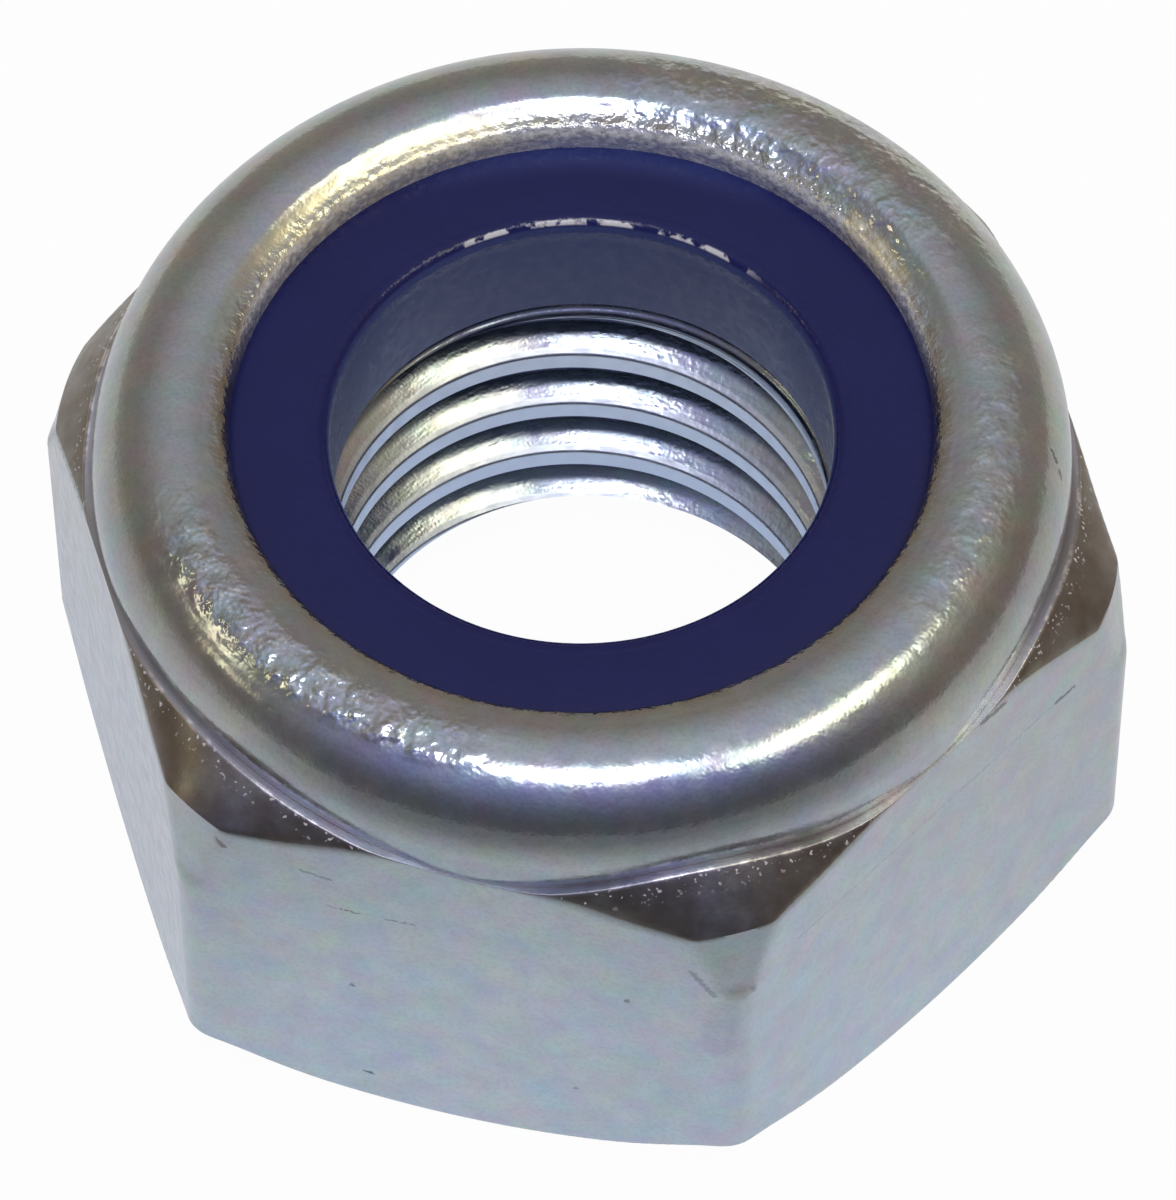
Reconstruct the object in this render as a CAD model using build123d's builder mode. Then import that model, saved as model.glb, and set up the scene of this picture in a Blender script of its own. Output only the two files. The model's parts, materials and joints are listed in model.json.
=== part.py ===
from build123d import *
import os
from math import cos, radians, sin, sqrt, tan

# A hexagon lock nut, M10, in millimetres and degrees. The centre of its bearing face
# is the origin, and the bolt comes out at the +Z end, through the ring.

# Bore, to the crests of its right-hand thread, countersunk at the bearing face and
# bevelled at the seat
thread_diameter = 10.0
thread_depth = 0.67
countersink_allowance = 0.35
countersink_angle = 45.0
lead_in = 0.35

# Hexagon, with a forging chamfer round the bearing face
across_flats = 17.0
corner_radius = 0.6
bearing_inset = 0.03
bearing_chamfer_angle = 33.0

# Top of the hexagon: a shoulder slopes down from the collar, and the corners, which
# the forging die left unfilled, drop steeply from the shoulder's edge
collar_height = 1.95
shoulder_drop = 0.85
shoulder_reach = 0.72
shoulder_edge_radius = 0.25
drape_angle = 70.0

# Collar: a thin wall, just inside the flats, that stands on a narrow ledge and is
# rolled inwards to a rounded lip
nut_height = 10.0
collar_inset = 0.05
collar_wall = 1.15
ledge_width = 0.15
roll_radius = 1.5
roll_turn = 118.0
lip_radius = 0.38
lip_land = 0.21
squeeze_angle = 20.0

# Ring: its bore stands just clear of the crests and bows in a little between the
# seat and the lip
ring_height = 2.33
ring_clearance = 0.02
ring_bow = 0.05
ring_edge_radius = 0.25

# Radii and heights that follow from the sizes above
thread_radius = thread_diameter / 2
minor_radius = thread_radius - thread_depth
countersink_radius = thread_radius + countersink_allowance
countersink_depth = (countersink_radius - minor_radius) / tan(radians(countersink_angle))
flat_distance = across_flats / 2
corner_reach = across_flats / sqrt(3)
bearing_radius = flat_distance - bearing_inset
bearing_chamfer_rise = (corner_reach - bearing_radius) * tan(radians(bearing_chamfer_angle))
collar_radius = flat_distance - collar_inset
ledge_radius = collar_radius + ledge_width
recess_radius = collar_radius - collar_wall
collar_base = nut_height - collar_height
shoulder_radius = flat_distance + shoulder_reach
shoulder_height = collar_base - shoulder_drop
drape_foot = shoulder_height - (corner_reach - shoulder_radius) * tan(radians(drape_angle))
roll_base = nut_height - roll_radius
rest_turn = 180 - roll_turn
lip_inner_radius = (
    collar_radius
    - roll_radius
    + (roll_radius - lip_radius) * cos(radians(roll_turn))
    - lip_radius
)
lip_height = roll_base + (roll_radius - lip_radius) * sin(radians(roll_turn))
ring_top = lip_height - lip_land
squeeze_height = ring_top - (recess_radius - lip_inner_radius) * tan(radians(squeeze_angle))
seat_height = ring_top - ring_height
ring_bore_radius = minor_radius + ring_clearance

os.makedirs("parts", exist_ok=True)

# Nut body: one steel forging. The section below is turned about Z, and the hexagon
# then trims it, so each flat runs up to the ledge at the foot of the collar.
with BuildPart() as nut_body:
    with BuildSketch(Plane.XZ):
        with BuildLine():
            FilletPolyline(
                (countersink_radius, 0),
                (bearing_radius, 0),
                (corner_reach, bearing_chamfer_rise),
                (corner_reach, drape_foot),
                (shoulder_radius, shoulder_height),
                (ledge_radius, collar_base),
                (collar_radius, collar_base),
                (collar_radius, roll_base),
                radius=[0, 0, 0, shoulder_edge_radius, 0, 0],
            )
            roll = JernArc((collar_radius, roll_base), (0, 1), roll_radius, roll_turn)
            JernArc(roll @ 1, roll % 1, lip_radius, rest_turn)
            Polyline(
                (lip_inner_radius, lip_height),
                (lip_inner_radius, ring_top),
                (recess_radius, squeeze_height),
                (recess_radius, seat_height),
                (minor_radius + lead_in, seat_height),
                (minor_radius, seat_height - lead_in),
                (minor_radius, countersink_depth),
                (countersink_radius, 0),
            )
        make_face()
    revolve(axis=Axis.Z)
    with BuildSketch():
        hexagon = RegularPolygon(flat_distance, 6, major_radius=False)
        fillet(hexagon.vertices(), corner_radius)
    extrude(amount=nut_height, mode=Mode.INTERSECT)
nut_body.part.label = "nut_body"

# Nylon insert: a moulded ring on the seat, its outer rim squeezed under the lip
with BuildPart() as nylon_insert:
    with BuildSketch(Plane.XZ) as ring_section:
        with BuildLine():
            Polyline(
                (ring_bore_radius, seat_height),
                (recess_radius, seat_height),
                (recess_radius, squeeze_height),
                (lip_inner_radius, ring_top),
                (ring_bore_radius, ring_top),
            )
            ThreePointArc(
                (ring_bore_radius, ring_top),
                (ring_bore_radius - ring_bow, (seat_height + ring_top) / 2),
                (ring_bore_radius, seat_height),
            )
        make_face()
        inner_rim = ring_section.vertices().group_by(Axis.Z)[-1].sort_by(Axis.X)[0]
        fillet(inner_rim, ring_edge_radius)
    revolve(axis=Axis.Z)
nylon_insert.part.label = "nylon_insert"

export_step(nut_body.part, "parts/nut_body.step")
export_step(nylon_insert.part, "parts/nylon_insert.step")
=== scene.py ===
"""A nylon insert lock nut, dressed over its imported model. Lengths are in metres."""

import json
import math

import bmesh
import bpy
from mathutils import Matrix, Vector


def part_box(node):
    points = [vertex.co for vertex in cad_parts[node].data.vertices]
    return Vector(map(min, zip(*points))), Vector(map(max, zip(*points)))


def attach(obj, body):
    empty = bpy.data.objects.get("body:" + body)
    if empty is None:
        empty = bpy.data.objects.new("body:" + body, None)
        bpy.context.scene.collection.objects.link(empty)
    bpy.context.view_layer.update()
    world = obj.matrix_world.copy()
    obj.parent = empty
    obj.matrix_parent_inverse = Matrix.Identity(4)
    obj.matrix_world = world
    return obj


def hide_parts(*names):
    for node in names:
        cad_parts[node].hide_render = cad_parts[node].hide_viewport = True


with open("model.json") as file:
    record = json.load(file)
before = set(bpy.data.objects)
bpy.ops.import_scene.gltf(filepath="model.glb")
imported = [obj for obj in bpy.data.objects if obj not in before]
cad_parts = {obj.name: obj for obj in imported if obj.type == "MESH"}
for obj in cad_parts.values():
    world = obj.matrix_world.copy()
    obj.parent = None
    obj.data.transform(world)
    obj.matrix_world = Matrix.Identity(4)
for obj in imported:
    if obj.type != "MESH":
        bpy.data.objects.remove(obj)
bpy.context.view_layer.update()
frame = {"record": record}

# ---- Steel body: the forging ---------------------------------------------------------
# One cold-forged steel blank: a hexagon with a sloping shoulder, and a thin round collar
# that was rolled in over the ring at assembly. Its section is drawn as a line and spun
# about the axis, and the side is then pressed in to a hexagon with softened edges.
MM = 0.001
TURN_STEPS = 288
ARC_STEP = math.radians(3.5)

body_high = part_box("nut_body")[1]
ring_low, ring_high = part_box("nylon_insert")
nut_height = body_high.z
flat_distance = body_high.y
corner_reach = flat_distance / math.cos(math.radians(30))

corner_radius = 0.6 * MM
bearing_radius = flat_distance - 0.03 * MM
bearing_slope = math.tan(math.radians(33))
collar_base = nut_height - 1.95 * MM
shoulder_edge = (flat_distance + 0.72 * MM, collar_base - 0.85 * MM)
shoulder_crown = 0.03 * MM
drape_slope = math.tan(math.radians(70))
collar_radius = flat_distance - 0.05 * MM
ledge_radius = collar_radius + 0.16 * MM
ledge_edge_radius = 0.06 * MM
recess_radius = ring_high.x
seat_height = ring_low.z
ring_top = ring_high.z
squeeze_slope = math.tan(math.radians(20))
roll_radius = 1.5 * MM
roll_turn = math.radians(118)
lip_radius = 0.38 * MM
crest_radius = frame["record"]["mounts"][0]["dims"]["r_mm"] * MM
pilot_radius = crest_radius - 0.2 * MM
countersink_radius = 5.35 * MM
seat_bevel_radius = crest_radius + 0.35 * MM


def arc(centre, radius, start, end):
    """Points (reach, height) along a round stretch of a section, both ends included."""
    steps = max(2, round(abs(end - start) / ARC_STEP))
    turns = [start + (end - start) * i / steps for i in range(steps + 1)]
    return [(centre[0] + radius * math.cos(t), centre[1] + radius * math.sin(t)) for t in turns]


def rounded(corner, before, after, radius):
    """Points of the arc that rounds one corner of a section."""
    corner, before, after = Vector(corner), Vector(before), Vector(after)
    back = (before - corner).normalized()
    on = (after - corner).normalized()
    half = back.angle(on) / 2
    centre = corner + (back + on).normalized() * radius / math.sin(half)
    first = corner + back * radius / math.tan(half) - centre
    last = corner + on * radius / math.tan(half) - centre
    start = math.atan2(first.y, first.x)
    turn = math.remainder(math.atan2(last.y, last.x) - start, math.tau)
    return arc(centre, radius, start, start + turn)


def bowed(start, end, crown, step):
    """Points from start up to end, no further apart than a step, crowned to the right."""
    start, end = Vector(start), Vector(end)
    steps = math.ceil((end - start).length / step)
    out = (end - start).normalized()
    points = []
    for i in range(steps):
        share = i / steps
        rise = 4 * crown * share * (1 - share)
        points.append(tuple(start.lerp(end, share) + Vector((out.y, -out.x)) * rise))
    return points


def draw_line(name, section):
    """A new piece, left in edit mode, that is one line of edges through a section's points."""
    bpy.ops.object.select_all(action="DESELECT")
    bpy.ops.mesh.primitive_plane_add(size=MM)
    piece = bpy.context.object
    piece.name = name
    bpy.ops.object.mode_set(mode="EDIT")
    bpy.ops.mesh.select_mode(type="VERT")
    bpy.ops.mesh.merge(type="CENTER")
    here = Vector((0, 0, 0))
    for place, (reach, height) in enumerate(section):
        there = Vector((reach, 0, height))
        if place == 0:
            bpy.ops.transform.translate(value=there)
        else:
            bpy.ops.mesh.extrude_region_move(TRANSFORM_OT_translate={"value": there - here})
        here = there
    bpy.ops.mesh.select_all(action="SELECT")
    return piece


def spin_section(name, section):
    """A closed solid of revolution: a section's outline, spun about the axis."""
    piece = draw_line(name, section + section[:1])
    bpy.ops.mesh.spin(steps=TURN_STEPS, angle=math.tau, center=(0, 0, 0), axis=(0, 0, 1))
    bpy.ops.mesh.select_all(action="SELECT")
    bpy.ops.mesh.remove_doubles(threshold=MM / 1000)
    bpy.ops.mesh.normals_make_consistent(inside=False)
    bpy.ops.object.mode_set(mode="OBJECT")
    return piece


roll_centre = (collar_radius - roll_radius, nut_height - roll_radius)
lip_centre = (
    roll_centre[0] + (roll_radius - lip_radius) * math.cos(roll_turn),
    roll_centre[1] + (roll_radius - lip_radius) * math.sin(roll_turn),
)
lip_inner = lip_centre[0] - lip_radius
squeeze_height = ring_top - (recess_radius - lip_inner) * squeeze_slope
beyond = corner_reach + 0.1 * MM
chamfer_top = (beyond, (beyond - bearing_radius) * bearing_slope)
drape_foot = (beyond, shoulder_edge[1] - (beyond - shoulder_edge[0]) * drape_slope)
ledge_edge = (ledge_radius, collar_base)
ledge_root = (collar_radius, collar_base)
body_section = [
    (pilot_radius, countersink_radius - pilot_radius),
    (countersink_radius, 0),
    *bowed((bearing_radius, 0), chamfer_top, 0, 0.05 * MM),
    *bowed(chamfer_top, drape_foot, 0, MM),
    *bowed(drape_foot, shoulder_edge, 0, 0.08 * MM),
    *bowed(shoulder_edge, ledge_edge, shoulder_crown, 0.04 * MM)[:-1],
    *rounded(ledge_edge, shoulder_edge, ledge_root, ledge_edge_radius),
    ledge_root,
    *arc(roll_centre, roll_radius, 0, roll_turn),
    *arc(lip_centre, lip_radius, roll_turn, math.pi)[1:],
    (lip_inner, ring_top),
    (recess_radius, squeeze_height),
    (recess_radius, seat_height),
    (seat_bevel_radius, seat_height),
    (pilot_radius, seat_height - seat_bevel_radius + pilot_radius),
]
steel_body = spin_section("steel_body", body_section)

# The steps of the spin crowd towards the hexagon's corners, which turn the fastest. The
# die filled the blank unevenly. Each row of corner_swells gives a corner in degrees and how
# full it is, and each row of fuller_places the middle and half the spread of a fuller place
# in degrees, and its rise at the ledge and at the shoulder's edge.
crowding = 0.75
edge_softness = 0.06 * MM
chamfer_softness = 0.08 * MM
flat_sink = (-0.15 * MM, -0.05 * MM)
swell_spread = math.radians(15)
swell_reach = 0.25 * MM
swell_rise = 0.34 * MM
swell_foot = 1.35
corner_swells = [(-120, 1.0), (-60, 1.0), (0, 0.75), (60, 0.1), (120, 0.3), (180, 0.35)]
foot_lift = 0.22 * MM
foot_height = 2 * MM
foot_width = MM
fuller_places = [
    (-130, 45, 0.57 * MM, 0.38 * MM),
    (-86, 12, -0.08 * MM, 0),
    (-77, 16, 0, -0.20 * MM),
    (-62, 20, 0.39 * MM, 0),
    (-8, 24, 0.45 * MM, 0.24 * MM),
    (60, 22, 0.42 * MM, 0.15 * MM),
    (120, 22, 0.42 * MM, 0.15 * MM),
    (180, 22, 0.42 * MM, 0.20 * MM),
]
corner_centre = (flat_distance - corner_radius) / math.cos(math.radians(30))
corner_aside = corner_centre * math.sin(math.radians(30))
corner_spread = math.radians(30) - math.atan(corner_aside / flat_distance)


def hexagon_reach(azimuth):
    """How far the hexagon's side is from the axis, with its corners rounded."""
    off = abs(math.remainder(azimuth, math.radians(60)))
    if off > corner_spread:
        return flat_distance / math.cos(math.radians(30) - off)
    aside = corner_centre * math.sin(off)
    return corner_centre * math.cos(off) + math.sqrt(corner_radius**2 - aside**2)


def soft_least(one, other, softness):
    """The lesser of two lengths, eased where they come within a softness of each other."""
    near = max(softness - abs(one - other), 0) / softness
    return min(one, other) - near * near * softness / 4


def hump(azimuth, middle, spread):
    """A smooth hump round an azimuth: 1 at its middle and 0 from its spread outwards."""
    away = abs(math.remainder(azimuth - math.radians(middle), math.tau)) / spread
    return math.cos(min(away, 1) * math.pi / 2) ** 2


def die_rise(azimuth):
    """How far the ledge and the shoulder's edge stand above their true height."""
    rises = list(flat_sink)
    for middle, spread, at_ledge, at_edge in fuller_places:
        share = hump(azimuth, middle, math.radians(spread))
        rises[0] += at_ledge * share
        rises[1] += at_edge * share
    return rises


# The finish reads a map of the shoulder: along it, the distance inside the hexagon in mm,
# and up it, 0 at the shoulder's edge, 1 at the ledge, and more in the crease above.
crease_climb = 1.3
above_climb = 2
touch = 0.001 * MM
ledge_top = collar_base + 0.01 * MM
shoulder_places = []
for vert in steel_body.data.vertices:
    reach = math.hypot(vert.co.x, vert.co.y)
    azimuth = math.atan2(vert.co.y, vert.co.x)
    azimuth -= crowding / 6 * math.sin(6 * azimuth)
    height = vert.co.z
    at_side = reach > collar_radius + touch and height < ledge_top
    at_root = abs(reach - collar_radius) < touch and height < ledge_top
    share = (height - shoulder_edge[1]) / (collar_base - shoulder_edge[1])
    margin = (hexagon_reach(azimuth) - reach) / MM
    climb = crease_climb if at_root else min(share, 1) if at_side else above_climb
    for corner, fullness in corner_swells:
        swell = hump(azimuth, corner, swell_spread)
        if at_side:
            lift = swell * foot_lift * max(0, 1 - height / foot_height)
            swell *= fullness * max(0, 1 - share if share > 0 else 1 + share / swell_foot)
            reach += swell * swell_reach
            height += swell * swell_rise + lift * min(1, (reach - bearing_radius) / foot_width)
            margin -= swell * swell_reach / MM
    shoulder_places.append((margin, climb))
    if at_side:
        softness = edge_softness if height > chamfer_top[1] else chamfer_softness
        reach = soft_least(reach, hexagon_reach(azimuth), softness)
    if at_side or at_root:
        at_ledge, at_edge = die_rise(azimuth)
        if share > 0:
            height += at_edge + (at_ledge - at_edge) * share
        else:
            height += at_edge * max(0, 1 + share)
    vert.co = (reach * math.cos(azimuth), reach * math.sin(azimuth), height)
shoulder_map = steel_body.data.uv_layers.new(name="shoulder_map", do_init=False)
for loop in steel_body.data.loops:
    shoulder_map.data[loop.index].uv = shoulder_places[loop.vertex_index]

# ---- Steel body: the thread ----------------------------------------------------------
# A right-hand M10 thread of 1.5 mm pitch, tapped right through the countersunk bore. The
# tap is one turn of its section, screwed up the axis and closed at both ends.
thread_radius = 5.0 * MM
thread_pitch = 1.5 * MM
thread_start = 1.034 * MM
flank_slope = math.tan(math.radians(27.5))
crest_round = 0.08 * MM
root_round = 0.25 * MM
flank_step = 0.15 * MM
tap_turns = 8
tap_steps = 128
tap_foot = thread_start - 2 * thread_pitch
tap_middle = tap_foot + (tap_turns + 1) / 2 * thread_pitch

root_half = thread_pitch / 7.5
mouth_half = root_half + (thread_radius - crest_radius) * flank_slope
tooth = [
    (crest_radius, tap_foot - thread_pitch / 2),
    (crest_radius, tap_foot - mouth_half),
    (thread_radius, tap_foot - root_half),
    (thread_radius, tap_foot + root_half),
    (crest_radius, tap_foot + mouth_half),
    (crest_radius, tap_foot + thread_pitch / 2),
]
tap_outline = [
    tooth[0],
    *rounded(tooth[1], tooth[0], tooth[2], crest_round),
    *rounded(tooth[2], tooth[1], tooth[3], root_round),
    *rounded(tooth[3], tooth[2], tooth[4], root_round),
    *rounded(tooth[4], tooth[3], tooth[5], crest_round),
    tooth[5],
]
tap_section = [
    point for pair in zip(tap_outline, tap_outline[1:]) for point in bowed(*pair, 0, flank_step)
]
tap_section.append(tap_outline[-1])


def select_edges(piece, wanted):
    """Selects the edges of a piece in edit mode that pass a test, and no others."""
    bpy.ops.mesh.select_mode(type="EDGE")
    bpy.ops.mesh.select_all(action="DESELECT")
    cage = bmesh.from_edit_mesh(piece.data)
    for edge in cage.edges:
        if wanted(edge):
            edge.select_set(True)
    bmesh.update_edit_mesh(piece.data)


tap = draw_line("tap", tap_section)
bpy.ops.object.mode_set(mode="OBJECT")
screw = tap.modifiers.new("screw", "SCREW")
screw.axis = "Z"
screw.angle = math.tau
screw.screw_offset = thread_pitch
screw.iterations = tap_turns
screw.steps = tap_steps
screw.render_steps = tap_steps
screw.use_merge_vertices = True
screw.merge_threshold = MM / 1000
bpy.ops.object.modifier_apply(modifier=screw.name)
bpy.ops.object.mode_set(mode="EDIT")
bpy.ops.mesh.select_all(action="SELECT")
bpy.ops.mesh.remove_doubles(threshold=MM / 1000)
for end in (-1, 1):
    select_edges(tap, lambda edge: edge.is_boundary and (edge.verts[0].co.z - tap_middle) * end > 0)
    bpy.ops.mesh.extrude_edges_move()
    bpy.ops.mesh.merge(type="CENTER")
bpy.ops.mesh.select_all(action="SELECT")
bpy.ops.mesh.normals_make_consistent(inside=False)
bpy.ops.object.mode_set(mode="OBJECT")
bpy.ops.object.select_all(action="DESELECT")
steel_body.select_set(True)
bpy.context.view_layer.objects.active = steel_body
cut = steel_body.modifiers.new("tap", "BOOLEAN")
cut.object = tap
cut.operation = "DIFFERENCE"
cut.solver = "EXACT"
bpy.ops.object.modifier_apply(modifier=cut.name)
bpy.data.objects.remove(tap)
bpy.ops.object.shade_smooth_by_angle(angle=math.radians(35))
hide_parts("nut_body")
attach(steel_body, "root")

# ---- Steel body: zinc plating --------------------------------------------------------
# Bright zinc with a clear bluish passivation, a few microns thick. It is satin on the flats,
# lightly hammered where the collar was rolled, and tarnished brown on the lip. The shoulder
# under the collar is painted dark brown as shade.


def add_node(tree, kind, inputs, **settings):
    """Adds a shader node. Each input is given a value, or linked if it is a socket."""
    made = tree.nodes.new("ShaderNode" + kind)
    for name, value in settings.items():
        setattr(made, name, value)
    for name, value in inputs.items():
        if isinstance(value, bpy.types.NodeSocket):
            tree.links.new(value, made.inputs[name])
        else:
            made.inputs[name].default_value = value
    return made


def measure(tree, operation, *values):
    """The result of one sum on numbers or sockets."""
    return add_node(tree, "Math", dict(enumerate(values)), operation=operation).outputs[0]


def product(tree, first, *others):
    """The product of several numbers or sockets."""
    for other in others:
        first = measure(tree, "MULTIPLY", first, other)
    return first


def noise(tree, place, size, detail=2, roughness=0.5):
    """Noise from 0 to 1 whose lumps are about a size, in the units of place."""
    inputs = {"Vector": place, "Scale": 1 / size, "Detail": detail, "Roughness": roughness}
    return add_node(tree, "TexNoise", inputs).outputs["Fac"]


def ease(tree, value, low, high, start=0, end=1):
    """Goes smoothly from start to end as value goes from low to high."""
    inputs = {"Value": value, "From Min": low, "From Max": high, "To Min": start, "To Max": end}
    return add_node(tree, "MapRange", inputs, interpolation_type="SMOOTHSTEP").outputs[0]


def blend(tree, share, under, over, how="MIX"):
    """One colour over another, by a share."""
    inputs = {0: share, 6: under, 7: over}
    return add_node(tree, "Mix", inputs, data_type="RGBA", blend_type=how).outputs[2]


zinc = bpy.data.materials.new("zinc_plating")
zinc.use_nodes = True
tree = zinc.node_tree
finish = tree.nodes["Principled BSDF"]
place = add_node(tree, "TexCoord", {}).outputs["Object"]
place = add_node(tree, "VectorMath", {0: place, "Scale": 1 / MM}, operation="SCALE").outputs[0]
height = add_node(tree, "SeparateXYZ", {0: place}).outputs[2]
level = add_node(tree, "VectorMath", {0: place, 1: (1, 1, 0)}, operation="MULTIPLY").outputs[0]
reach = add_node(tree, "VectorMath", {0: level}, operation="LENGTH").outputs["Value"]
marks = add_node(tree, "UVMap", {}, uv_map="shoulder_map").outputs[0]
marks = add_node(tree, "SeparateXYZ", {0: marks}).outputs
inside_hexagon, climb = marks[0], marks[1]
patchy = noise(tree, place, 0.5)


def around(azimuth):
    """How squarely a point of the body faces an azimuth in degrees, from -1 to 1."""
    facing = (math.cos(math.radians(azimuth)), math.sin(math.radians(azimuth)), 0)
    inputs = {0: level, 1: facing}
    along = add_node(tree, "VectorMath", inputs, operation="DOT_PRODUCT").outputs["Value"]
    return measure(tree, "DIVIDE", along, reach)


# The parts of the body, by reach, height and azimuth in mm and degrees
on_roll = ease(tree, height, 8.3, 9.0)
on_lip = product(tree, ease(tree, reach, 6.5, 6.15), ease(tree, height, 9.0, 9.3))
on_far_lip = product(tree, ease(tree, around(102), 0.0, 0.5), on_roll)
# Painted light: the far lip's inner slope is made pale and partly non-metallic, lightening a band that
# reflects dark.
painted_lip_light = product(tree, ease(tree, reach, 6.22, 6.10), ease(tree, height, 8.9, 9.2), on_far_lip)
on_crown = product(tree, ease(tree, reach, 6.6, 6.95), ease(tree, reach, 7.75, 7.45))
in_bore = ease(tree, reach, 5.25, 5.15)
# Painted shade: the roots of the thread, darkened as shadow under each crest.
painted_root_shade = product(tree, in_bore, ease(tree, reach, 4.60, 4.74), ease(tree, height, 0.9, 1.2))
on_crest = product(tree, ease(tree, reach, 4.48, 4.42), ease(tree, height, 6.6, 6.4))
on_bevel = product(tree, in_bore, ease(tree, height, 6.3, 6.45))
on_shoulder = product(tree, ease(tree, inside_hexagon, 0.0, 0.035), ease(tree, climb, 1.02, 0.96),
                      ease(tree, climb, -0.02, 0.02))
# Painted shade: a dark line in the crease where the collar meets the ledge.
painted_crease_shade = product(tree, ease(tree, climb, 1.02, 1.2), ease(tree, climb, 1.45, 1.32),
                    ease(tree, inside_hexagon, 0.12, 0.35))
on_ledge = product(tree, ease(tree, climb, 0.94, 0.98), ease(tree, climb, 1.42, 1.32))

# Wear: the roll is bruised on one side, rubbed on another and galled on a third. The lip has
# a painted gold highlight in two places, a bright gold tint where the lamps' highlights fall.
bruised = product(tree, ease(tree, around(-120), 0.80, 0.97), on_crown)
rubbed = product(tree, ease(tree, around(2), 0.85, 0.97), on_crown, 0.45)
galled = product(tree, ease(tree, around(70), 0.80, 0.98), on_roll, 0.6)
hammered = measure(tree, "MAXIMUM", measure(tree, "MAXIMUM", bruised, rubbed), galled)
hammered = product(tree, hammered, ease(tree, patchy, 0.35, 0.6, 0.3, 1))
flecks = product(tree, ease(tree, noise(tree, place, 0.13), 0.56, 0.63), hammered)
# Painted highlight: a bright gold tint on the lip where the lamps' highlights fall.
painted_gold_highlight = product(tree, ease(tree, around(140), 0.84, 0.97), ease(tree, reach, 6.65, 6.40))
painted_gold_glint = product(tree, ease(tree, around(48), 0.984, 0.997), ease(tree, reach, 6.42, 6.28))
painted_gold_highlight = measure(tree, "MAXIMUM", painted_gold_highlight, painted_gold_glint)
painted_gold_highlight = product(tree, painted_gold_highlight, ease(tree, patchy, 0.30, 0.60, 0.45, 1), on_roll)

# Dirt: light grains high on the shoulder. Painted highlight: bright beads along the ledge.
grains = ease(tree, noise(tree, place, 0.09, detail=1), 0.64, 0.70)
grains = product(tree, grains, on_shoulder, ease(tree, climb, 0.6, 0.9))
ledge_highlight_beads = ease(tree, noise(tree, place, 0.25), 0.45, 0.65)
ledge_highlight_beads = product(tree, ledge_highlight_beads, ease(tree, climb, 0.95, 0.99), ease(tree, climb, 1.08, 1.02),
                 ease(tree, inside_hexagon, 0.1, 0.4))

# Pits and scratches from handling, on the flats and corners: both ends in mm, half the
# width, and how dark each one is.
handling_marks = [
    ((2.93, -8.5, 5.08), (2.93, -8.5, 5.12), 0.06, 0.6),
    ((-1.97, -8.5, 3.70), (-1.93, -8.5, 3.70), 0.06, 0.6),
    ((-1.80, -8.5, 0.92), (-1.66, -8.5, 0.88), 0.05, 0.8),
    ((2.00, -8.5, 1.85), (2.01, -8.5, 1.86), 0.06, 0.5),
    ((-4.24, -8.5, 7.46), (-4.10, -8.5, 7.30), 0.08, 0.6),
    ((-2.36, -8.5, 6.12), (-1.75, -8.5, 6.07), 0.03, 0.6),
    ((-1.30, -8.5, 6.08), (-0.78, -8.5, 6.09), 0.03, 0.5),
    ((-2.76, -8.5, 7.07), (-2.24, -8.5, 6.96), 0.05, 0.4),
    ((4.02, -8.7, 6.68), (4.47, -8.5, 6.82), 0.06, 0.6),
    ((4.05, -8.5, 6.45), (4.45, -8.5, 5.85), 0.08, 0.4),
    ((5.00, -8.2, 5.95), (5.06, -8.2, 5.85), 0.09, 0.4),
    ((4.62, -8.5, 5.40), (4.50, -8.5, 4.20), 0.40, 0.12),
    ((7.86, -3.38, 7.95), (8.14, -2.91, 7.95), 0.09, 0.7),
    ((8.83, -1.70, 6.48), (9.05, -1.32, 6.48), 0.07, 0.7),
    ((5.60, -7.30, 6.25), (8.83, -1.70, 6.48), 0.03, 0.25),
    ((-8.98, -1.45, 7.75), (-8.94, -1.52, 7.95), 0.10, 0.7),
    ((7.97, 1.35, 9.50), (8.08, 1.22, 9.38), 0.06, 0.7),
    ((8.17, 1.10, 9.26), (8.20, 1.00, 9.20), 0.06, 0.6),
]
ragged = add_node(tree, "TexNoise", {"Vector": place, "Scale": 12, "Detail": 1}).outputs["Color"]
ragged = add_node(tree, "VectorMath", {0: ragged, 1: (0.5, 0.5, 0.5)}, operation="SUBTRACT").outputs[0]
ragged = add_node(tree, "VectorMath", {0: ragged, "Scale": 0.12}, operation="SCALE").outputs[0]
ragged = add_node(tree, "VectorMath", {0: ragged, 1: place}, operation="ADD").outputs[0]


def stroke(start, end, half_width):
    """A ragged line between two points of the body, 1 along its middle."""
    along = Vector(end) - Vector(start)
    passed = add_node(tree, "VectorMath", {0: ragged, 1: start}, operation="SUBTRACT").outputs[0]
    inputs = {0: passed, 1: along / along.length_squared}
    share = add_node(tree, "VectorMath", inputs, operation="DOT_PRODUCT").outputs["Value"]
    share = add_node(tree, "Clamp", {"Value": share}).outputs[0]
    nearest = add_node(tree, "VectorMath", {0: along, "Scale": share}, operation="SCALE").outputs[0]
    inputs = {0: passed, 1: nearest}
    gap = add_node(tree, "VectorMath", inputs, operation="DISTANCE").outputs["Value"]
    return ease(tree, gap, half_width, half_width * 0.4)


struck = 0
for start, end, half_width, depth in handling_marks:
    mark = product(tree, stroke(start, end, half_width), depth)
    struck = measure(tree, "MAXIMUM", struck, mark)

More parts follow.
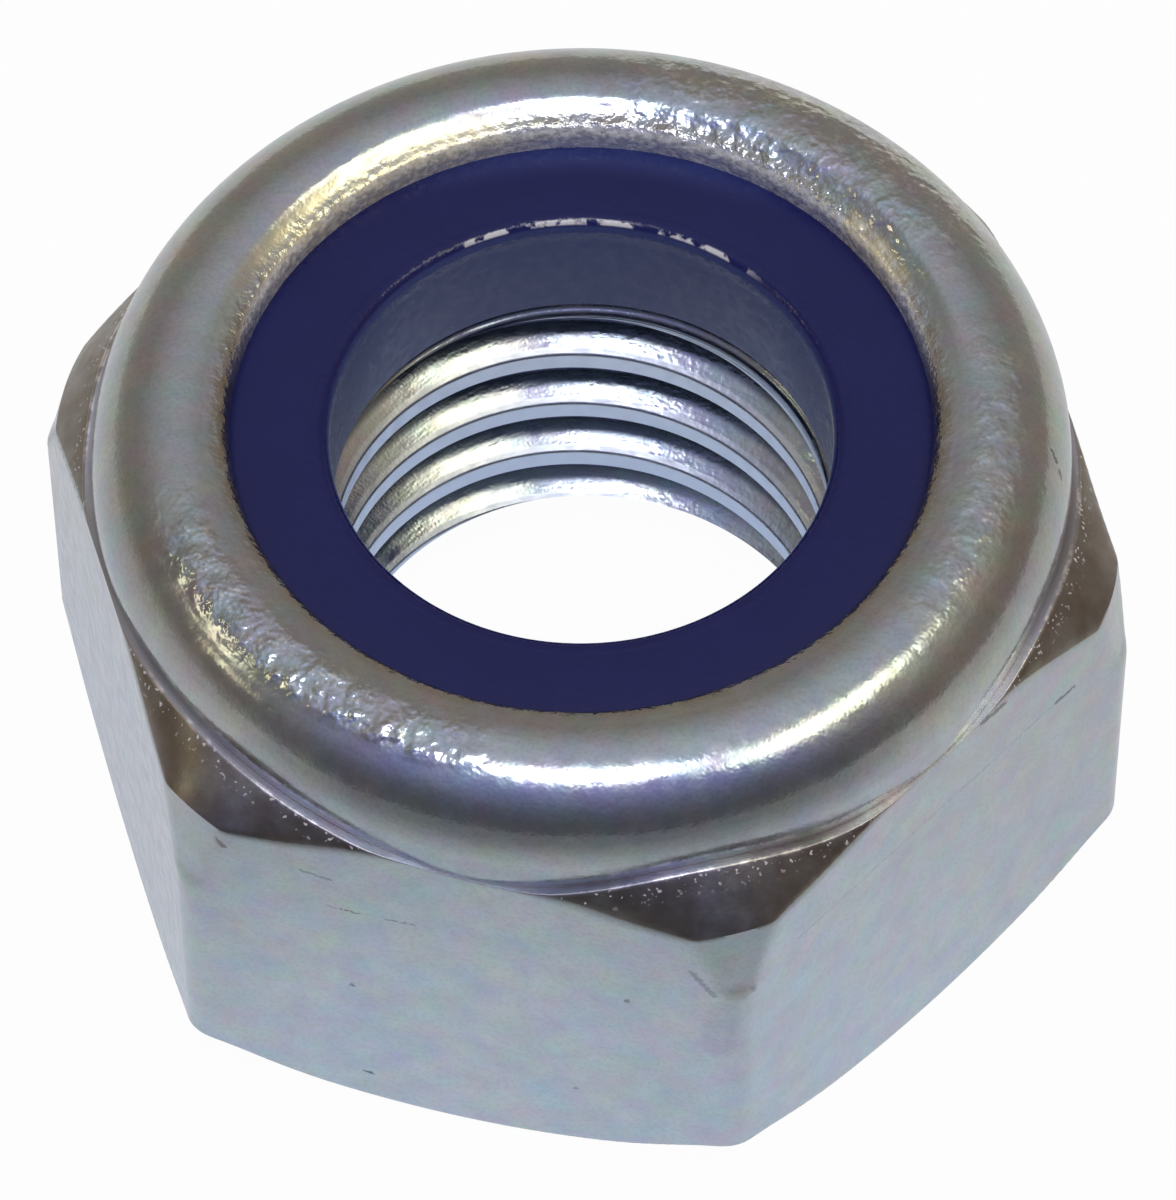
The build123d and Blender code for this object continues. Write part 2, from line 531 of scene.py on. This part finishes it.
# Colour: cool and warm zinc, tinted by its passivation, and then one layer over another
cool_zinc = (0.47, 0.54, 0.61, 1)
warm_zinc = (0.53, 0.57, 0.60, 1)
colour = blend(tree, noise(tree, place, 2.5), cool_zinc, warm_zinc)
hues = add_node(tree, "TexNoise", {"Vector": place, "Scale": 1.6}).outputs["Color"]
colour = blend(tree, 0.45, colour, hues, how="SOFT_LIGHT")
speckle = ease(tree, noise(tree, place, 0.08), 0.45, 0.65)
tarnish = product(tree, on_lip, ease(tree, patchy, 0.35, 0.6, 0.35, 0.8))
# Painted shade: the shoulder under the collar is painted dark brown.
painted_shoulder_shade = product(tree, on_shoulder, ease(tree, patchy, 0.3, 0.7, 0.9, 0.7))
layers = [
    (product(tree, speckle, 0.22), (0.36, 0.36, 0.37)),
    (product(tree, flecks, 0.85), (0.80, 0.82, 0.84)),
    (tarnish, (0.36, 0.33, 0.27)),
    # painted light on the far lip's inner slope
    (painted_lip_light, (0.82, 0.85, 0.88)),
    # painted gold highlight on the lip
    (product(tree, painted_gold_highlight, 0.75), (0.93, 0.87, 0.63)),
    # painted shade, dark brown, on the shoulder under the collar
    (painted_shoulder_shade, (0.22, 0.19, 0.165)),
    # painted shade in the crease at the ledge root
    (product(tree, painted_crease_shade, 0.6), (0.20, 0.17, 0.19)),
    (product(tree, on_ledge, 0.5), (0.46, 0.42, 0.46)),
    (grains, (0.75, 0.75, 0.76)),
    # painted highlight: bright beads along the ledge
    (ledge_highlight_beads, (0.85, 0.83, 0.86)),
    # painted shade in the roots of the thread
    (product(tree, painted_root_shade, 0.85), (0.09, 0.11, 0.15)),
    # painted shade on the seat bevel at the top of the bore, under the ring
    (product(tree, on_bevel, 0.6), (0.16, 0.19, 0.24)),
    (on_crest, (0.66, 0.71, 0.78)),
    (struck, (0.09, 0.09, 0.11)),
]
for share, tint in layers:
    colour = blend(tree, share, colour, (*tint, 1))
tree.links.new(colour, finish.inputs["Base Color"])
# The painted light on the far lip is also made partly non-metallic.
painted_lip_dullness = product(tree, painted_lip_light, ease(tree, noise(tree, place, 0.11), 0.35, 0.6, 0.95, 0.5))
shine = measure(tree, "SUBTRACT", 1, measure(tree, "MAXIMUM", grains, painted_lip_dullness))
tree.links.new(shine, finish.inputs["Metallic"])

# Roughness: satin, and duller in some parts
roughness = ease(tree, noise(tree, place, 0.3), 0.3, 0.7, 0.13, 0.23)
dirty = measure(tree, "MAXIMUM", on_shoulder, on_ledge)
for part, duller in [(on_lip, 0.05), (painted_gold_highlight, 0.06), (on_crest, 0.2), (dirty, 0.15)]:
    roughness = measure(tree, "ADD", roughness, product(tree, part, duller))
tree.links.new(roughness, finish.inputs["Roughness"])

# Relief in mm: the skin of the roll and its dents, the torn and worn lip, and in the bore
# the marks of the tap and the turned bevel
worn = ease(tree, reach, 6.72, 6.30, 0, -0.065)
worn = measure(tree, "ADD", worn, ease(tree, reach, 6.30, 6.05, 0, 0.05))
inputs = {0: place, 1: (0.08, 0.08, 1)}
along_thread = add_node(tree, "VectorMath", inputs, operation="MULTIPLY").outputs[0]
chatter = ease(tree, around(62), 0.6, 0.95, 0.0008, 0.007)
turning = measure(tree, "SINE", product(tree, height, 55))
relief = product(tree, noise(tree, place, 0.06, detail=0), 0.0014)
for bump_height in [
    product(tree, noise(tree, place, 0.30), on_roll, 0.007),
    product(tree, noise(tree, place, 0.3), hammered, 0.075),
    product(tree, noise(tree, place, 0.16), on_lip, ease(tree, painted_gold_highlight, 0, 1, 0.05, 0.026)),
    product(tree, worn, on_far_lip),
    product(tree, noise(tree, along_thread, 0.05, detail=1), in_bore, 0.004),
    product(tree, noise(tree, place, 0.14, detail=1), in_bore, chatter),
    product(tree, turning, on_bevel, 0.006),
]:
    relief = measure(tree, "ADD", relief, bump_height)
bump = add_node(tree, "Bump", {"Height": relief, "Distance": MM})
tree.links.new(bump.outputs[0], finish.inputs["Normal"])
steel_body.data.materials.clear()
steel_body.data.materials.append(zinc)

# ---- Nylon ring ----------------------------------------------------------------------
# A moulded ring of dark blue nylon, squeezed under the lip. Its bore has no thread yet,
# bows in a little and is rounded at the rim.
ring_bore = crest_radius + 0.02 * MM
ring_bow = 0.05 * MM
ring_rim_radius = 0.25 * MM
ring_dish = 0.03 * MM

bow_rise = (ring_top - seat_height) / 2
bow_radius = (bow_rise**2 + ring_bow**2) / (2 * ring_bow)
bow_turn = math.asin(bow_rise / bow_radius)
bow_centre = (ring_bore - ring_bow + bow_radius, seat_height + bow_rise)
bow = arc(bow_centre, bow_radius, math.pi - bow_turn, math.pi + bow_turn)
dished = bowed((lip_inner, ring_top), bow[0], ring_dish, 0.1 * MM)
ring_section = [
    (recess_radius, seat_height),
    (recess_radius, squeeze_height),
    *dished[:-3],
    *rounded(bow[0], dished[-4], bow[1], ring_rim_radius),
    *bow[1:],
]
nylon_ring = spin_section("nylon_ring", ring_section)
bpy.ops.object.shade_smooth_by_angle(angle=math.radians(30))
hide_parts("nylon_insert")
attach(nylon_ring, "root")

nylon = bpy.data.materials.new("blue_nylon")
nylon.use_nodes = True
tree = nylon.node_tree
finish = tree.nodes["Principled BSDF"]
place = add_node(tree, "TexCoord", {}).outputs["Object"]
place = add_node(tree, "VectorMath", {0: place, "Scale": 1 / MM}, operation="SCALE").outputs[0]
height = add_node(tree, "SeparateXYZ", {0: place}).outputs[2]
level = add_node(tree, "VectorMath", {0: place, 1: (1, 1, 0)}, operation="MULTIPLY").outputs[0]
reach = add_node(tree, "VectorMath", {0: level}, operation="LENGTH").outputs["Value"]
inputs = {0: place, 1: (-0.17, 0.98, 0)}
far_side = add_node(tree, "VectorMath", inputs, operation="DOT_PRODUCT").outputs["Value"]

# The bore's wall is painted lighter grey-blue as a painted reflection, its glossy rim has a
# broken painted white highlight on the far side, and a painted sheen lightens the ring beside the far
# lip.
# Painted reflection: the bore's wall is made lighter grey-blue.
painted_bore_reflection = ease(tree, reach, 4.42, 4.34)
on_rim = product(tree, ease(tree, reach, 4.72, 4.6), ease(tree, height, 8.8, 9.05))
# Painted highlight: a broken white line along the far side of the rim.
painted_rim_highlight = product(tree, ease(tree, reach, 4.50, 4.46), ease(tree, reach, 4.39, 4.42),
               ease(tree, height, 9.0, 9.1), ease(tree, far_side, 3.2, 4.0))
painted_rim_highlight = product(tree, painted_rim_highlight, ease(tree, noise(tree, place, 0.35, detail=4), 0.46, 0.54))
# Painted sheen: the ring beside the far lip is made lighter.
painted_far_sheen = product(tree, ease(tree, reach, 5.3, 5.9), ease(tree, far_side, 4.6, 5.8))
deep_blue = (0.006, 0.009, 0.095, 1)
mid_blue = (0.010, 0.014, 0.13, 1)
colour = blend(tree, noise(tree, place, 1.2, detail=3), deep_blue, mid_blue)
for share, tint in [
    # painted reflection on the bore's wall
    (painted_bore_reflection, (0.080, 0.108, 0.29)),
    # painted highlight on the far rim
    (painted_rim_highlight, (0.88, 0.88, 0.92)),
    # painted sheen beside the far lip
    (painted_far_sheen, (0.026, 0.040, 0.19)),
]:
    colour = blend(tree, share, colour, (*tint, 1))
tree.links.new(colour, finish.inputs["Base Color"])
roughness = ease(tree, noise(tree, place, 0.2, detail=3), 0.3, 0.7, 0.26, 0.4)
roughness = measure(tree, "SUBTRACT", roughness, product(tree, on_rim, 0.2))
tree.links.new(roughness, finish.inputs["Roughness"])
finish.inputs["Specular IOR Level"].default_value = 0.4
relief = product(tree, noise(tree, place, 0.15, detail=3), ease(tree, on_rim, 0, 1, 0.006, 0.016))
bump = add_node(tree, "Bump", {"Height": relief, "Distance": MM})
tree.links.new(bump.outputs[0], finish.inputs["Normal"])
nylon_ring.data.materials.clear()
nylon_ring.data.materials.append(nylon)

# ---- Camera --------------------------------------------------------------------------
# It looks down into the bore, past the corner between the two near flats.
camera_azimuth = math.radians(-75.38)
camera_elevation = math.radians(55.41)
camera_distance = 153.36 * MM
camera_roll = math.radians(-0.461)
turn_centre = Vector((0, 0, 6)) * MM
aim = Vector((0.4217, -1.272, 6)) * MM


def toward(azimuth, elevation):
    """The direction at an azimuth and an elevation."""
    level = Vector((math.cos(azimuth), math.sin(azimuth), 0))
    return level * math.cos(elevation) + Vector((0, 0, math.sin(elevation)))


lens = bpy.data.cameras.new("camera")
lens.sensor_width = 36
lens.lens = 263.26
lens.clip_start = 10 * MM
camera = bpy.data.objects.new("camera", lens)
camera.location = turn_centre + camera_distance * toward(camera_azimuth, camera_elevation)
facing = (aim - camera.location).to_track_quat("-Z", "Y").to_matrix().to_4x4()
camera.rotation_euler = (facing @ Matrix.Rotation(camera_roll, 4, "Z")).to_euler()
scene = bpy.context.scene
scene.collection.objects.link(camera)
scene.camera = camera
scene.view_settings.view_transform = "Standard"

# ---- Floor ---------------------------------------------------------------------------
# White paper under soft light, which grows dim beyond the nut on the camera's side. The
# camera sees it as white, under a faint soft shadow.
bpy.ops.object.select_all(action="DESELECT")
bpy.ops.mesh.primitive_circle_add(vertices=96, radius=1.5, fill_type="NGON")
floor = bpy.context.object
floor.name = "floor"


def tone_ramp(tree, value, stops):
    """Colours along a value from 0 to 1, from stops of value and colour."""
    band = add_node(tree, "ValToRGB", {0: value})
    ramp = band.color_ramp
    while len(ramp.elements) < len(stops):
        ramp.elements.new(0.5)
    for element, (stop, tone) in zip(ramp.elements, stops):
        element.position = stop
        element.color = (*tone, 1)
    return band.outputs[0]


paper = bpy.data.materials.new("paper")
paper.use_nodes = True
tree = paper.node_tree
tree.nodes.remove(tree.nodes["Principled BSDF"])
tone_reach = 60
rays = add_node(tree, "LightPath", {}).outputs
place = add_node(tree, "TexCoord", {}).outputs["Object"]
toward_camera = (math.cos(camera_azimuth) / MM, math.sin(camera_azimuth) / MM, 0)
toward_right = (-math.sin(camera_azimuth) / MM, math.cos(camera_azimuth) / MM, 0)
inputs = {0: place, 1: toward_camera}
nearness = add_node(tree, "VectorMath", inputs, operation="DOT_PRODUCT").outputs["Value"]
inputs = {0: place, 1: toward_right}
side = add_node(tree, "VectorMath", inputs, operation="DOT_PRODUCT").outputs["Value"]
spread = add_node(tree, "VectorMath", {0: place, "Scale": 1 / MM}, operation="SCALE").outputs[0]
spread = add_node(tree, "VectorMath", {0: spread}, operation="LENGTH").outputs["Value"]
ahead = measure(tree, "DIVIDE", nearness, spread)
spread = measure(tree, "DIVIDE", spread, tone_reach)
near_paper = tone_ramp(tree, spread, [
    (0.14, (0.82, 0.89, 1.0)),
    (0.19, (0.76, 0.81, 0.88)),
    (0.25, (0.50, 0.52, 0.53)),
    (0.42, (0.26, 0.26, 0.25)),
    (0.75, (0.10, 0.10, 0.10)),
])
side_paper = tone_ramp(tree, spread, [
    (0.15, (0.78, 0.80, 0.86)),
    (0.25, (0.68, 0.68, 0.68)),
    (0.50, (0.60, 0.57, 0.50)),
    (0.90, (0.48, 0.43, 0.36)),
])
far_paper = tone_ramp(tree, spread, [
    (0.12, (0.66, 0.76, 0.98)),
    (0.22, (0.84, 0.84, 0.82)),
    (0.90, (0.74, 0.68, 0.56)),
])
lit = blend(tree, ease(tree, ahead, 0.35, 0.85), side_paper, near_paper)
lit = blend(tree, ease(tree, ahead, -0.1, -0.9), lit, far_paper)
warmer = blend(tree, 1, lit, (1.05, 1.02, 0.98, 1), how="MULTIPLY")
lit = blend(tree, ease(tree, side, 4, 14), lit, warmer)
sheet = add_node(tree, "BsdfDiffuse", {"Color": (0.85, 0.85, 0.85, 1)}).outputs[0]
glow = add_node(tree, "Emission", {"Color": (1, 1, 1, 1), "Strength": 1}).outputs[0]
shine = add_node(tree, "Emission", {"Color": lit, "Strength": 1}).outputs[0]
shown = measure(tree, "MAXIMUM", rays["Is Camera Ray"], rays["Is Transmission Ray"])
shown = product(tree, shown, 0.97)
look = add_node(tree, "MixShader", {0: shown, 1: sheet, 2: glow}).outputs[0]
mirrored = product(tree, rays["Is Glossy Ray"], 0.7)
look = add_node(tree, "MixShader", {0: mirrored, 1: look, 2: shine}).outputs[0]
tree.links.new(look, tree.nodes["Material Output"].inputs["Surface"])
floor.data.materials.append(paper)

# ---- Lights --------------------------------------------------------------------------
# One soft box almost overhead, warm lamps to the right and low on the left, and a room
# that is dim and warm near the horizon, dark on the camera's side and light at the ceiling.
hang_distance = 0.35


def hang_softbox(name, azimuth, elevation, wide, tall, radiance, tint):
    """A soft box that faces the nut from the camera's left or right, in degrees, and shines
    with a given radiance. Its width and height are the angles that it fills."""
    box = bpy.data.lights.new(name, "AREA")
    box.shape = "ELLIPSE"
    box.size = 2 * hang_distance * math.tan(math.radians(wide / 2))
    box.size_y = 2 * hang_distance * math.tan(math.radians(tall / 2))
    box.color = tint
    box.energy = radiance * math.pi * math.pi * box.size * box.size_y / 4
    held = bpy.data.objects.new(name, box)
    way = toward(camera_azimuth + math.radians(azimuth), math.radians(elevation))
    held.location = hang_distance * way
    held.rotation_euler = (-held.location).to_track_quat("-Z", "Y").to_euler()
    scene.collection.objects.link(held)


hang_softbox("overhead", -2, 77, 24, 18, 4.5, (1.0, 1.0, 1.0))
hang_softbox("warm_right", 72, 63, 32, 15, 2.6, (1.0, 0.95, 0.66))
hang_softbox("gold_left", -93, 41, 17, 6, 2.2, (1.0, 0.86, 0.52))
hang_softbox("gold_low_left", -80, 30, 10, 5, 2.0, (1.0, 0.86, 0.52))

world = bpy.data.worlds.new("studio")
world.use_nodes = True
scene.world = world
tree = world.node_tree
sky = tree.nodes["Background"]
way = add_node(tree, "TexCoord", {}).outputs["Generated"]
turned = add_node(tree, "VectorRotate", {"Vector": way, "Angle": -camera_azimuth},
                  rotation_type="Z_AXIS").outputs[0]
ways = add_node(tree, "SeparateXYZ", {0: turned}).outputs
elevation = measure(tree, "DIVIDE", measure(tree, "ARCSINE", ways[2]), math.pi / 2)
ceiling = (1.0, (0.62, 0.62, 0.74))
near_tones = tone_ramp(tree, elevation, [
    (0.0, (0.12, 0.115, 0.12)),
    (0.17, (0.11, 0.105, 0.12)),
    (0.33, (0.14, 0.14, 0.18)),
    (0.50, (0.23, 0.23, 0.36)),
    (0.63, (0.33, 0.32, 0.58)),
    (0.75, (0.52, 0.52, 0.80)),
    ceiling,
])
far_tones = tone_ramp(tree, elevation, [
    (0.0, (0.38, 0.33, 0.26)),
    (0.17, (0.33, 0.27, 0.225)),
    (0.35, (0.30, 0.255, 0.22)),
    (0.55, (0.41, 0.38, 0.36)),
    (0.75, (0.54, 0.53, 0.57)),
    ceiling,
])
left_tones = tone_ramp(tree, elevation, [
    (0.0, (0.40, 0.35, 0.29)),
    (0.15, (0.23, 0.19, 0.155)),
    (0.35, (0.22, 0.18, 0.15)),
    (0.60, (0.30, 0.29, 0.29)),
    (0.75, (0.50, 0.53, 0.60)),
    ceiling,
])
right_tones = tone_ramp(tree, elevation, [
    (0.0, (0.27, 0.22, 0.18)),
    (0.15, (0.25, 0.19, 0.15)),
    (0.30, (0.28, 0.215, 0.165)),
    (0.48, (0.46, 0.385, 0.29)),
    (0.65, (0.56, 0.51, 0.40)),
    (0.80, (0.56, 0.55, 0.56)),
    ceiling,
])
level_way = measure(tree, "SUBTRACT", 1.001, product(tree, ways[2], ways[2]))
level_way = measure(tree, "SQRT", level_way)
ahead = measure(tree, "DIVIDE", ways[0], level_way)
aside = measure(tree, "DIVIDE", ways[1], level_way)
sides = blend(tree, ease(tree, aside, -0.3, 0.3), left_tones, right_tones)
room = blend(tree, ease(tree, ahead, 0.1, 0.85), sides, near_tones)
room = blend(tree, ease(tree, ahead, -0.1, -0.85), room, far_tones)
rays = add_node(tree, "LightPath", {}).outputs
backdrop = measure(tree, "MAXIMUM", rays["Is Camera Ray"], rays["Is Transmission Ray"])
tree.links.new(blend(tree, backdrop, room, (1, 1, 1, 1)), sky.inputs["Color"])
sky.inputs["Strength"].default_value = 1
